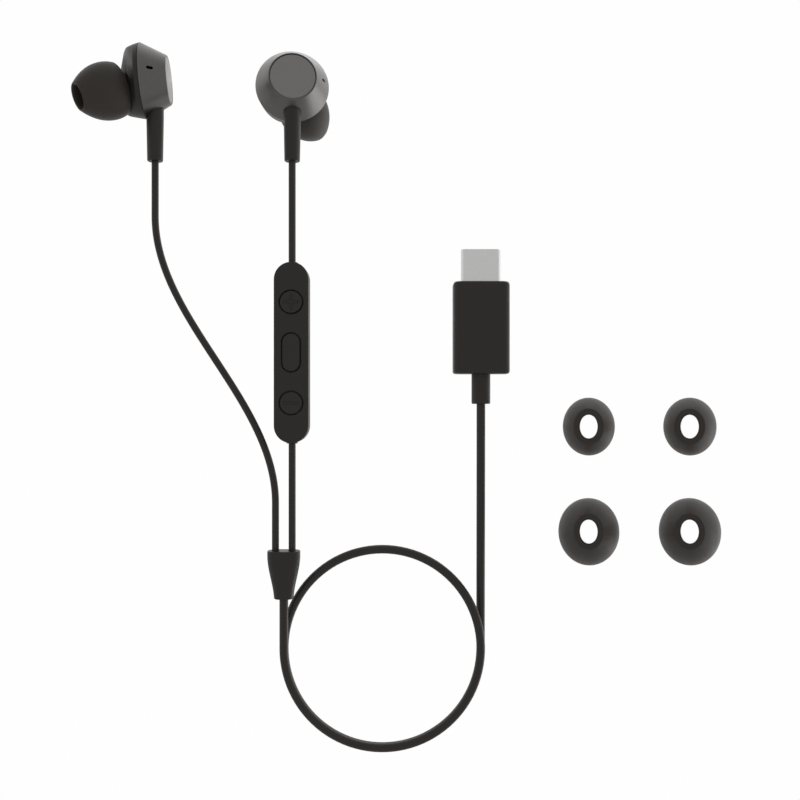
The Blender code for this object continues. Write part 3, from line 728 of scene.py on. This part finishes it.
def rise_path(steps):
    """From the end of the coil up to the plug."""
    centre, path = coil_centre(), []
    for step in range(1, steps + 1):
        t = step / steps
        back = COIL_PITCH * COIL_TURNS * (1 - t * t * (3 - 2 * t))
        path.append(coil_point(PLUG_FLEX.x, centre.z + (PLUG_FLEX.z - centre.z) * t, back))
    path[-1].z = PLUG_FLEX.z
    return path


def blended(piece, inner, outer, end, away, *nodes):
    """Bake a cable piece's place into its mesh, and hide the CAD nodes that it stands for. Its end and away are
    not used.
    """
    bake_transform(piece)
    return shown_for(piece, *nodes, slot="cable_jacket")


def main_cable():
    split = 0.02  # of a turn, just past the side of the coil that is under the splitter
    start = coil_path(0, split, 4)
    top = SPLITTER_FLEX + CABLE_GRIP * Z
    down = [top + (start[0] - top) * step / 10 for step in range(10)]
    piece = tube("main_cable_at_splitter", down + start, CABLE_RADIUS, JACKET)
    blended(piece, "splitter", "main_cable", SPLITTER_FLEX + CABLE_RADIUS * Z, -Z)
    path = coil_path(split, COIL_TURNS, 150) + rise_path(30) + [PLUG_FLEX + CABLE_GRIP * Z]
    piece = tube("main_cable_coil", path, CABLE_RADIUS, JACKET)
    blended(piece, "plug", "main_cable", PLUG_FLEX + CABLE_RADIUS * Z, -Z, "main_cable", "main_cable_end")


def left_lead():
    low, high = hinge_at("left_lead_flex"), hinge_at("left_bud_flex")
    start, end = low + LEAD_STRAIGHT_LOW * Z, high - LEAD_STRAIGHT_HIGH * Z
    reach_up = LEAD_BEND_REACH * Z
    bend = bezier(start, start + reach_up, end - reach_up, end, 72)
    half = len(bend) // 2
    lower = [low - CABLE_GRIP * Z] + [low + (start - low) * step / 6 for step in range(6)] + bend[: half + 1]
    upper = bend[half:] + [end + (high - end) * step / 6 for step in range(1, 7)] + [high + CABLE_GRIP * Z]
    piece = tube("left_lead_at_splitter", lower, LEAD_RADIUS, JACKET)
    blended(piece, "splitter", "left_lead", low - LEAD_RADIUS * Z, Z, "left_lead")
    piece = tube("left_lead_at_earbud", upper, LEAD_RADIUS, JACKET)
    blended(piece, "left_bud", "left_lead", high + LEAD_RADIUS * Z, -Z, "left_bud_lead_end")


def straight_lead(body, low_body, high_body, low, high, end_nodes):
    """A straight lead between two hinges, in two pieces that meet half way."""
    half = (low + high) / 2
    ends = ((low, low_body, Z, "low", [body]), (high, high_body, -Z, "high", end_nodes))
    for end, other, away, label, nodes in ends:
        far = end - CABLE_GRIP * away
        path = [far + (half - far) * step / 24 for step in range(25)]
        piece = tube(f"{body}_{label}", path, LEAD_RADIUS, JACKET)
        blended(piece, other, body, end - LEAD_RADIUS * away, away, *nodes)


def right_leads():
    straight_lead(
        "right_lead_lower", "splitter", "remote", hinge_at("right_lead_flex"), hinge_at("remote_flex"), [],
    )
    straight_lead(
        "right_lead_upper", "remote", "right_bud", hinge_at("right_upper_flex"), hinge_at("right_bud_flex"),
        ["right_bud_lead_end"],
    )


# ---------------------------------------------------------------- splitter


def splitter():
    """A small block that narrows downwards, with a hole round each cable that leaves it."""
    centre, size = box_of("cable_splitter")
    top, bottom, half = (size.x - 0.05, size.y - 0.05), (3.9, 3.4), size.z / 2
    face, top_edge, bottom_edge, roundness = 0.6, 0.25, 0.3, 0.42
    narrows_from, narrows_over = 0.1, 0.95  # shares of the height
    sides = [(0, half - size.z * step / 20, 0) for step in range(1, 20)]
    profile = [(face, half, 0), (0, half, top_edge), *sides, (0, -half, bottom_edge), (face, -half, 0)]
    rings = []
    for inset, height in filleted(profile):
        t = min(max(((half - height) / size.z - narrows_from) / narrows_over, 0), 1)
        share = t * t * (3 - 2 * t)
        width, depth = (a + (b - a) * share - 2 * inset for a, b in zip(top, bottom))
        rings.append(raised(rounded_box(width, depth, roundness * depth), height))
    block = loft("splitter_block", rings, place(centre, X, Y), PLASTIC)
    holes, room, hole_depth = [], 0.1, 1.5
    leads = [("left_lead_flex", LEAD_RADIUS, 1), ("right_lead_flex", LEAD_RADIUS, 1)]
    for joint, radius, away in [*leads, ("splitter_flex", CABLE_RADIUS, -1)]:
        at = hinge_at(joint)
        at.z = centre.z + away * half
        corners = [(radius + room, -hole_depth, 0), (radius + room, hole_depth, 0)]
        holes.append(turned("hole", corners, place(at, X, Y), PLASTIC))
    return stand_for(cut(block, *holes), "splitter", "cable_splitter")


# ---------------------------------------------------------------- remote


def key_outline(size, grown):
    """A key's outline along its frame's first axis: a slot shape, or a circle."""
    length, width = size.z + 2 * grown, size.x + 2 * grown
    return stadium(max(length, width + 1e-4), width)


def key_size(name):
    """(centre, size) of the part of a key that shows, without the flange behind the cover."""
    centre, size = box_of(f"{name}_button")
    return centre, size - 2 * KEY_FLANGE * (X + Z)


def key_frame(centre):
    """A frame on the key's axis at the middle of the set's depth, along the remote and facing back."""
    return place(Vector((centre.x, 0, centre.z)), Z, X)


def remote_covers():
    """A flat-faced front cover with a soft edge and three holes, and a rounder back cover."""
    front_centre, front = box_of("remote_front_cover")
    back_centre, back = box_of("remote_back_cover")
    face, seam = front_centre.y - front.y / 2, front_centre.y + front.y / 2
    flat, seam_edge, front_edge, rear_edge = 1.2, 0.07, 0.34, 0.6
    chamfer, cut_ahead, cut_behind = 0.06, 0.5, 1.5
    at = key_frame(front_centre)

    def outline(inset):
        return stadium(front.z - 2 * inset, front.x - 2 * inset)

    corners = [
        (COVER_WALL, face + COVER_WALL, 0),
        (COVER_WALL, seam, 0),
        (0, seam, seam_edge),
        (0, face, front_edge),
        (flat, face, 0),
    ]
    cover = swept("remote_face", outline, corners, at, PLASTIC)
    tools = []
    for name in KEYS:
        centre, size = key_size(name)
        rings = [
            raised(key_outline(size, KEY_GROOVE + wider), face + height)
            for wider, height in ((chamfer, -cut_ahead), (chamfer, 0), (0, chamfer), (0, cut_behind))
        ]
        tools.append(loft("hole", rings, key_frame(centre), PLASTIC))
    stand_for(cut(cover, *tools), "remote", "remote_front_cover")

    rear, inner = back_centre.y + back.y / 2, back_centre.y - back.y / 2
    corners = [
        (COVER_WALL, rear - COVER_WALL, 0),
        (COVER_WALL, inner, 0),
        (0, inner, seam_edge),
        (0, rear, rear_edge),
        (flat, rear, 0),
    ]
    shell = swept("remote_rear", outline, corners, at, PLASTIC)
    return stand_for(shell, "remote", "remote_back_cover")


def bar(length, width, low, high, turn, at):
    """A raised bar with rounded ends and a soft top edge, along the first axis or turned."""
    rings = []
    for inset, height in filleted([(0, low, 0), (0, high, 0.05), (width / 2 - 0.02, high, 0)]):
        outline = stadium(length - 2 * inset, width - 2 * inset, 8)
        rings.append([Matrix.Rotation(turn, 3, "Z") @ point for point in raised(outline, height)])
    return loft("bar", rings, at, KEY_PLASTIC)


def keys():
    """The three keys: crowned caps with a flange behind. Signs stand in a channel on the round ones."""
    signs = {"volume_up": (0.0, math.pi / 2), "volume_down": (math.pi / 2,), "play_pause": ()}
    sign_long, sign_wide, sign_high, crown = 3.0, 0.36, 0.1, 0.06
    channel, channel_depth, embedded, cutter_high = 0.13, 0.12, 0.2, 0.5
    for name in KEYS:
        centre, size = key_size(name)
        front = centre.y - size.y / 2
        shoulder = front + COVER_WALL + 0.22
        profile = [
            (-KEY_FLANGE, shoulder + 0.28, 0),
            (-KEY_FLANGE, shoulder, 0),
            (0, shoulder, 0),
            (0, front, 0.22),
            (0.5, front - 0.05, 0.3),
            (1.4, front - crown, 0),
        ]
        rings = [raised(key_outline(size, -inset), height) for inset, height in filleted(profile)]
        at, top = key_frame(centre), front - crown
        piece = loft(f"{name}_key", rings, at, KEY_PLASTIC)
        for operation, wider, low, high in (
            ("DIFFERENCE", 2 * channel, top + channel_depth, top - cutter_high),
            ("UNION", 0, top + embedded, top - sign_high),
        ):
            long, wide = sign_long + wider, sign_wide + wider
            combine(piece, operation, [bar(long, wide, low, high, turn, at) for turn in signs[name]])
        stand_for(piece, f"{name}_button", f"{name}_button")


def remote_sleeves():
    """The soft ferrules where the leads go into the ends of the remote."""
    centre, size = box_of("remote_front_cover")
    for label, joint, away in (("lower", "remote_flex", -Z), ("upper", "right_upper_flex", Z)):
        at = hinge_at(joint)
        at.z = centre.z + away.z * (size.z / 2 - 0.5)
        inner, outer = LEAD_RADIUS + 0.04, LEAD_RADIUS + 0.42
        corners = [(inner, -1, 0), (outer, -1, 0), (outer, 0.62, 0.14), (inner, 0.62, 0.1)]
        piece = turned(f"remote_{label}_ferrule", corners, place(at, X, away.cross(X)), PLASTIC, around=True)
        stand_for(piece, "remote", slot="dark_plastic")


# ---------------------------------------------------------------- earbuds


class Bud:
    """Where the CAD has one earbud: the flex point, the way up its strain relief, and its housing's frame."""

    def __init__(self, hand):
        self.name = f"{hand}_bud"
        self.side = 1 if hand == "right" else -1
        self.flex = hinge_at(f"{self.name}_flex")
        self.up = (middle(f"{self.name}_strain_relief") - self.flex).normalized()
        plate, shell = middle(f"{self.name}_end_plate"), middle(f"{self.name}_front_shell")
        out = normal_of(f"{self.name}_end_plate")
        self.out = out if out.dot(plate - shell) > 0 else -out
        self.tall = (self.up - self.up.dot(self.out) * self.out).normalized()
        self.across = self.tall.cross(self.out)
        self.rim, self.end, self.radius = reach(f"{self.name}_cone_cover", plate, self.out)
        self.origin = plate
        self.at = place(plate, self.across, self.tall)
        self.root = self.flex + (plate - self.flex).dot(self.up) * self.up
        self.nozzle = Vector(JOINTS[f"{hand}_tip_pull"]["axis"])
        tip = middle(f"{hand}_ear_tip")
        self.opening = tip + reach(f"{hand}_ear_tip", tip, self.nozzle)[1] * self.nozzle

    def upright(self, point):
        """A frame on the strain relief's axis at this point, whose third axis is up it."""
        return place(point, self.across, self.up.cross(self.across).normalized())

    def local(self, vector):
        """A direction in the housing's own frame."""
        return Vector((vector.dot(self.across), vector.dot(self.tall), vector.dot(self.out)))


def vent_cutter(bud):
    length, width = 1.25, 0.62
    out = Vector((bud.side * math.cos(VENT_ANGLE), math.sin(VENT_ANGLE), 0))
    height = (bud.rim + bud.end) / 2 + VENT_SHIFT
    rings = [
        [out * far + (height + u) * Z + v * out.cross(Z) for u, v in stadium(length, width, 12)]
        for far in (4.0, 9.0)
    ]
    return loft("vent", rings, bud.at, PLASTIC)


def relief_groove(bud):
    """A cutter with a little room round the strain relief, from its top to below the housing."""
    node = f"{bud.name}_strain_relief"
    top, radius = reach(node, bud.root, bud.up)[1] + RELIEF_ROOM, box_of(node)[1].x / 2 + RELIEF_ROOM
    return turned("groove", [(radius, -2 * bud.radius, 0), (radius, top, 0)], bud.upright(bud.root), PLASTIC)


def cone_cover(bud):
    """The cone: softened edges, a seat for the end plate, a vent slot and a groove for the strain relief."""
    seam, wall, lip, seat_depth, ledge = 0.06, 0.7, 0.18, 0.6, 0.5
    seat = reach(f"{bud.name}_end_plate", bud.origin, bud.out)[2] + seam
    corners = [
        (bud.radius - wall, bud.rim, 0),
        (bud.radius, bud.rim, 0.13),
        (seat + lip, bud.end, 0.16),
        (seat, bud.end, 0.05),
        (seat, bud.end - seat_depth, 0),
        (seat - ledge, bud.end - seat_depth, 0),
        (bud.radius - wall, bud.rim + seat_depth, 0),
    ]
    cone = turned(f"{bud.name}_cone", corners, bud.at, CONE_METAL, around=True)
    return stand_for(cut(cone, relief_groove(bud), vent_cutter(bud)), bud.name, f"{bud.name}_cone_cover")


def end_plate(bud):
    """The round plate: slightly crowned, with a bevelled edge that leaves a dark seam round it."""
    low, high, radius = reach(f"{bud.name}_end_plate", bud.origin, bud.out)
    bevel, edge = 0.2, high - PLATE_CROWN
    corners = [(radius, low), (radius, edge - 0.12), (radius - 0.07, edge - 0.04), (radius - bevel, edge)]
    for step in range(1, 24):
        share = 1 - step / 24
        corners.append(((radius - bevel) * share, high - PLATE_CROWN * share**2))
    rings = [raised(circle(r), height) for r, height in corners]
    piece = loft(f"{bud.name}_plate", rings, bud.at, PLATE_METAL)
    return stand_for(piece, bud.name, f"{bud.name}_end_plate")


def front_shell(bud):
    """The dark shell behind the rim. Its back turns towards the nozzle, and the nozzle grows out of it."""
    along = bud.local(bud.nozzle)
    across = along.cross(Y).normalized()
    tall = across.cross(along)
    root = bud.local(bud.opening - bud.origin) - (NOZZLE_LENGTH + NOZZLE_SETBACK) * along
    front, back = bud.rim - 0.1, bud.rim - SHELL_DEPTH

    def housing_ring(inset, out, share):
        slant = share * SHELL_SLANT
        wide = Vector((math.cos(slant), 0, bud.side * math.sin(slant)))
        return [out * Z + u * wide + v * Y for u, v in circle(bud.radius - inset)]

    def nozzle_ring(half_width, at):
        outline = oval(half_width, half_width + NOZZLE_OVAL, ROUND_SIDES)
        return [root + at * along + u * across + v * tall for u, v in outline]

    outside = flowing([
        (0.12, front, 0), (0.28, back + 2.9, 0.1), (0.45, back + 2.2, 0.3),
        (0.85, back + 0.8, 0.85), (1.3, back + 0.35, 1), (2.6, back, 1),
    ], 6)
    foot, foot_end, flare = 0.35, 1.2, 0.9
    steps = [step / 6 for step in range(7)]
    grown = [(NOZZLE_HALF_WIDTH + flare * (1 - t) ** 2, foot + (foot_end - foot) * t) for t in steps]
    floor, end, recess = NOZZLE_LENGTH - 0.6, NOZZLE_LENGTH, NOZZLE_BORE + 0.2
    straight = filleted([
        (NOZZLE_HALF_WIDTH, foot_end + 0.5, 0),
        (NOZZLE_HALF_WIDTH, end - 1.6, 0.1),
        (NOZZLE_HALF_WIDTH - 0.12, end - 1.4, 0.1),
        (NOZZLE_HALF_WIDTH, end - 1.1, 0.1),
        (NOZZLE_HALF_WIDTH, end, 0.12),
        (recess, end, 0.05),
        (recess, floor, 0),
        (NOZZLE_BORE, floor, 0),
        (NOZZLE_BORE, 0.3, 0),
    ])
    inside = [(2.9, back + 1.0, 1), (1.3, back + 2.4, 0.3), (0.8, front, 0)]
    rings = [housing_ring(*row) for row in outside]
    rings += [nozzle_ring(*row) for row in grown + straight]
    rings += [housing_ring(*row) for row in inside]
    shell = loft(f"{bud.name}_shell", rings, bud.at, SHELL_PLASTIC, around=True)
    stand_for(cut(shell, relief_groove(bud)), bud.name, f"{bud.name}_front_shell")


def nozzle_screen(bud):
    at = bud.opening - (NOZZLE_SETBACK + 0.35) * bud.nozzle
    wide = bud.nozzle.cross(bud.tall).normalized()
    half_width = NOZZLE_BORE + 0.12
    outline = oval(half_width, half_width + NOZZLE_OVAL, ROUND_SIDES)
    rings = [raised(outline, 0), raised(outline, 0.15)]
    screen = loft(f"{bud.name}_screen", rings, place(at, wide, bud.nozzle.cross(wide)), SCREEN)
    stand_for(screen, bud.name, f"{bud.name}_nozzle_mesh")


def bud_relief(bud):
    node = f"{bud.name}_strain_relief"
    low, high, _ = reach(node, bud.flex, bud.up)
    at, radius = bud.upright(bud.flex + high * bud.up), box_of(node)[1].x / 2
    sleeve(f"{bud.name}_relief", bud.name, node, at, radius, BUD_RELIEF_END, high - low)


def tip_rings(half_width, ridge):
    """The rings of a soft tip about its frame's third axis, from the opening at 0 down to the skirt and back.

    Rows are (half width, height). A thin ridge of this half width is round the mouth, which slopes in."""
    size = half_width / FITTED_HALF_WIDTH
    edge, rim_end, dome_length, dome_steps, skirt_steps, edge_steps = 0.42, 0.35, 6.63 * size, 24, 7, 8
    slope = ridge - TIP_OPENING - 0.1
    mouth = flowing([
        (TIP_OPENING, -1.5),
        (TIP_OPENING + 0.02, -0.8),
        (TIP_OPENING + 0.15 * slope, -0.42),
        (TIP_OPENING + 0.4 * slope, -0.25),
        (ridge - 0.24, -0.12),
        (ridge - 0.1, -0.03),
        (ridge, 0),
        (ridge + 0.09, -0.03),
        (ridge + 0.16, -0.1),
    ], 3)
    rows = [tuple(row) for row in mouth]
    lip, start = rows[-1]
    for step in range(1, dome_steps + 1):
        share = step / dome_steps
        rise = 1 - (1 - share) ** TIP_ROUNDNESS
        rows.append((lip + (half_width - lip) * rise, start - dome_length * share))
    low, end, radius = rows[-1][1], -8.85 * size, half_width - rim_end
    for step in range(1, skirt_steps):
        t = step / skirt_steps
        rows.append((half_width - rim_end * t * t, low + (end - low) * t))
    for step in range(edge_steps + 1):
        a = math.pi * step / edge_steps
        rows.append((radius - edge / 2 + edge / 2 * math.cos(a), end - edge / 2 * math.sin(a)))
    rings = [tip_ring(r, height, TIP_OVAL + TIP_OVAL_GROWTH * (r - TIP_OPENING)) for r, height in rows]
    inside = flowing([
        (half_width - edge, -6.8 * size), (half_width * 0.9, -5.2 * size), (half_width * 0.72, -3.5 * size),
        (TIP_OPENING + 0.95, -2.75 * size), (TIP_OPENING + 0.72, -3.1 * size), (TIP_OPENING + 0.7, -7.0),
    ], 5)
    sleeve_end = [(0.62, -7.2), (0.08, -7.2), (0, -7.05), (0, -2.6)]  # (wall, height)
    rows = [tuple(row) for row in inside] + [(TIP_OPENING + wall, height) for wall, height in sleeve_end]
    return rings + [tip_ring(r, height, NOZZLE_OVAL) for r, height in rows]


def tip_ring(half_width, height, taller):
    return raised(oval(half_width, half_width + taller, TIP_SIDES), height)


def ear_tip(name, body, node, opening, along, up, half_width, ridge):
    wide = along.cross(up).normalized()
    at = place(opening, wide, along.cross(wide))
    return stand_for(loft(name, tip_rings(half_width, ridge), at, SILICONE, around=True), body, node)


def earbuds():
    for hand in ("left", "right"):
        bud = Bud(hand)
        cone_cover(bud)
        end_plate(bud)
        front_shell(bud)
        nozzle_screen(bud)
        bud_relief(bud)
        ear_tip(
            f"{hand}_fitted_tip", f"{hand}_ear_tip", f"{hand}_ear_tip", bud.opening, bud.nozzle, bud.tall,
            FITTED_HALF_WIDTH, FITTED_LIP,
        )


def spare_tips():
    """The two pairs of spare tips, each with its opening towards the camera."""
    for node in [f"{size}_spare_tip_{hand}" for size in ("small", "large") for hand in ("left", "right")]:
        centre = middle(node)
        along = (CAMERA_FROM_ORIGIN - centre).normalized()
        opening = centre + reach(node, centre, along)[1] * along
        wide = along.cross(Z).normalized()
        across = points_of(node) @ np.array(wide)
        half_width = float(across.max() - across.min()) / 2
        ear_tip(f"{node}_soft", node, node, opening, along, Z, half_width, SPARE_LIP)


# ---------------------------------------------------------------- studio


def camera():
    data = bpy.data.cameras.new("camera")
    data.lens, data.sensor_width = LENS, SENSOR
    data.clip_start = 0.005
    made = bpy.data.objects.new("camera", data)
    bpy.context.scene.collection.objects.link(made)
    made.location = MM * CAMERA_FROM_ORIGIN
    made.rotation_euler = (math.pi / 2, 0, 0)
    bpy.context.scene.camera = made


def white_to_camera(tree, shade):
    """The light to give off: white straight into the camera, and shade to every other ray."""
    seen = add(tree, "LightPath").outputs["Is Camera Ray"]
    inputs = {"Value": seen, "To Min": shade, "To Max": 1.0}
    return add(tree, "MapRange", inputs).outputs["Result"]


def glow(tree, ray, toward, full, gone, strength):
    """Light from about one direction: all of it within full degrees, and none from gone degrees out."""
    cosine = add(tree, "VectorMath", {0: ray, 1: Vector(toward).normalized()}, operation="DOT_PRODUCT")
    inputs = {
        "Value": cosine.outputs["Value"], "From Min": math.cos(math.radians(gone)),
        "From Max": math.cos(math.radians(full)), "To Min": 0.0, "To Max": strength,
    }
    return add(tree, "MapRange", inputs, interpolation_type="SMOOTHSTEP").outputs["Result"]


def studio_world():
    """A dim grey studio with soft boxes round it, that the camera itself sees as plain white."""
    world = bpy.data.worlds.new("studio")
    bpy.context.scene.world = world
    world.use_nodes = True
    tree = world.node_tree
    ray = add(tree, "TexCoord").outputs["Generated"]
    light = STUDIO_GREY
    for box in SOFT_BOXES:
        light = add(tree, "Math", {0: light, 1: glow(tree, ray, *box)}).outputs["Value"]
    strength = white_to_camera(tree, light)
    tree.links.new(strength, tree.nodes["Background"].inputs["Strength"])
    tree.nodes["Background"].inputs["Color"].default_value = (1, 1, 1, 1)


def pale_paper():
    """White paper that gives off its own white in the picture, and lets the studio's light through."""
    material = bpy.data.materials.new("pale_paper")
    material.use_nodes = True
    tree = material.node_tree
    tree.nodes.clear()
    fibre = noise(tree, here(tree), 0.8, 3.0)
    white = tinted(tree, fibre, (0.992, 0.992, 0.992), 0.005)
    paper = add(tree, "Emission", {"Color": white, "Strength": 1.0})
    clear = add(tree, "BsdfTransparent")
    seen = add(tree, "LightPath").outputs["Is Camera Ray"]
    inputs = {0: seen, 1: clear.outputs["BSDF"], 2: paper.outputs["Emission"]}
    mixed = add(tree, "MixShader", inputs)
    tree.links.new(mixed.outputs["Shader"], add(tree, "OutputMaterial").inputs["Surface"])
    return material


def backdrop(lowest):
    """A sheet that is a floor under the set and curves up into a wall behind it."""
    half, front, corner, back, top = 1500.0, -900.0, 250.0, 800.0, 1600.0
    floor = lowest / MM - 25.0
    profile = [Vector((front, floor)), *(
        Vector((back - corner + corner * math.sin(a), floor + corner * (1 - math.cos(a))))
        for a in (math.pi / 2 * step / 16 for step in range(17))
    ), Vector((back, top))]
    body = bmesh.new()
    rows = [[body.verts.new(MM * Vector((x, y, z))) for x in (-half, half)] for y, z in profile]
    for near, far in zip(rows, rows[1:]):
        body.faces.new((near[0], near[1], far[1], far[0]))
    add_piece("backdrop", body, Matrix.Identity(4), pale_paper())


def studio():
    camera()
    studio_world()
    backdrop(cad_box[0].z)
    bpy.context.scene.view_settings.view_transform = "Standard"


# ---------------------------------------------------------------- the set

dress_cad_nodes()
plug()
main_cable()
left_lead()
right_leads()
splitter()
remote_covers()
keys()
remote_sleeves()
earbuds()
spare_tips()
studio()
